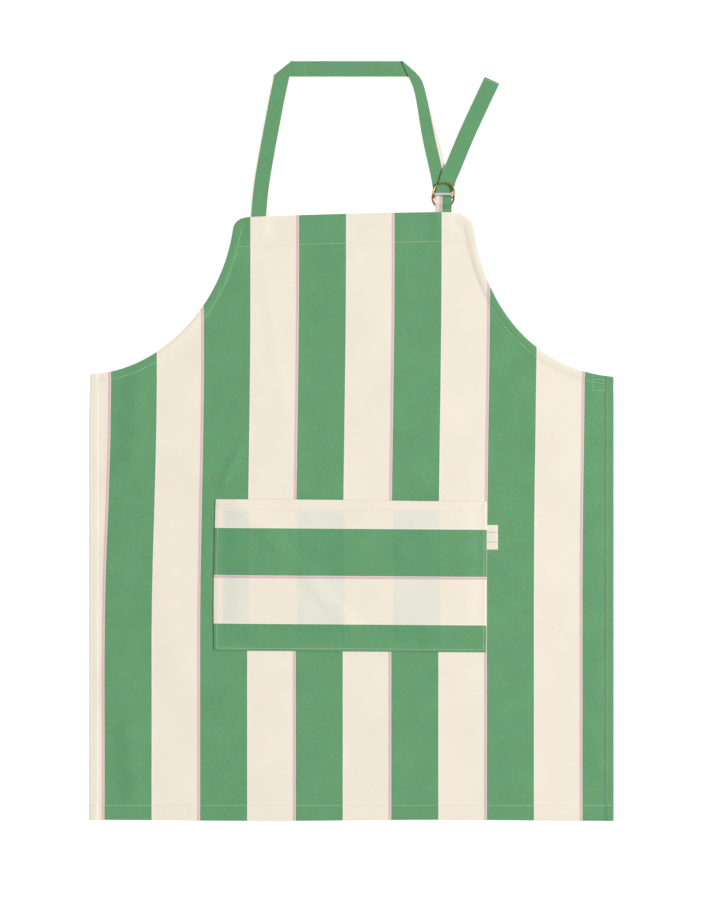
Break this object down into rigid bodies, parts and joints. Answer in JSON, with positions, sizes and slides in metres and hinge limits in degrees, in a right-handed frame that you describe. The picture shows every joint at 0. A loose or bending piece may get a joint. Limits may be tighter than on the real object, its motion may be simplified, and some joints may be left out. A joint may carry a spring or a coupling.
{
  "type": "bib apron",
  "caption": "Striped cotton bib apron laid flat, with a front pocket, turned hems, a neck strap threaded through two D-rings, and waist ties tucked behind.",
  "frame": {"origin": "middle of the footprint of the apron laid flat, on the surface it lies on", "axes": "+X to the right seen from the face, +Y from the bottom hem to the neck loop, +Z out of the face"},
  "size_m": [0.702, 1.019, 0.0139],
  "materials": {
    "striped_cotton": "plain-weave cotton canvas in green, cream and pink stripes",
    "pocket_cotton": "the same striped canvas with its stripes across",
    "strap_cotton": "folded canvas strap, green face and cream back",
    "tab_cotton": "striped canvas tab",
    "bias_tape": "cream bias tape",
    "label_tape": "folded woven tape, blank",
    "antique_brass": "antique brass wire, darkened with worn highlights",
    "bright_nickel": "bright nickel",
    "sewing_thread": "off-white sewing thread"
  },
  "bodies": {
    "apron": {"front_panel": "striped_cotton", "bib_facing": "striped_cotton", "armhole_facing_left": "bias_tape", "armhole_facing_right": "bias_tape", "pocket": "pocket_cotton", "strap_sewn_end": "strap_cotton", "tab_sewn_end": "tab_cotton", "bib_facing_stitch": "sewing_thread", "armhole_stitch_left": "sewing_thread", "armhole_stitch_right": "sewing_thread", "side_stitch_left": "sewing_thread", "side_stitch_right": "sewing_thread", "bottom_hem_stitch": "sewing_thread", "pocket_hem_stitch": "sewing_thread", "pocket_seam": "sewing_thread", "pocket_tack_left": "sewing_thread", "pocket_tack_right": "sewing_thread", "tie_tack_left": "sewing_thread", "tie_tack_right": "sewing_thread"},
    "neck_loop": {"neck_strap": "strap_cotton", "ring_tab": "tab_cotton", "tail_end_stitch": "sewing_thread", "tab_stitch": "sewing_thread"},
    "upper_ring": {"front_ring": "antique_brass"},
    "lower_ring": {"rear_ring": "antique_brass", "bar_sleeve": "bright_nickel"},
    "left_tie": {"waist_tie_left": "strap_cotton"},
    "right_tie": {"waist_tie_right": "strap_cotton"},
    "label": {"pocket_label": "label_tape"}
  },
  "joints": [
    {"name": "neck_fold", "type": "hinge", "parent": "apron", "child": "neck_loop", "pos_m": [0, 0.3035, 0.0037], "axis": [1, 0, 0], "range_deg": [0, 140]},
    {"name": "upper_ring_lift", "type": "hinge", "parent": "neck_loop", "child": "upper_ring", "pos_m": [0.1235, 0.3251, 0.0066], "axis": [1, 0, 0], "range_deg": [0, 24]},
    {"name": "lower_ring_rock", "type": "hinge", "parent": "neck_loop", "child": "lower_ring", "pos_m": [0.1225, 0.3113, 0.00275], "axis": [1, 0, 0], "range_deg": [0, 6]},
    {"name": "left_tie_fold", "type": "hinge", "parent": "apron", "child": "left_tie", "pos_m": [-0.351, 0.0585, 0.00045], "axis": [0, 1, 0], "range_deg": [0, 180]},
    {"name": "right_tie_fold", "type": "hinge", "parent": "apron", "child": "right_tie", "pos_m": [0.351, 0.0533, 0.00045], "axis": [0, -1, 0], "range_deg": [0, 180]},
    {"name": "label_flip", "type": "hinge", "parent": "apron", "child": "label", "pos_m": [0.182, -0.13, 0.0033], "axis": [0, -1, 0], "range_deg": [0, 120]}
  ]
}
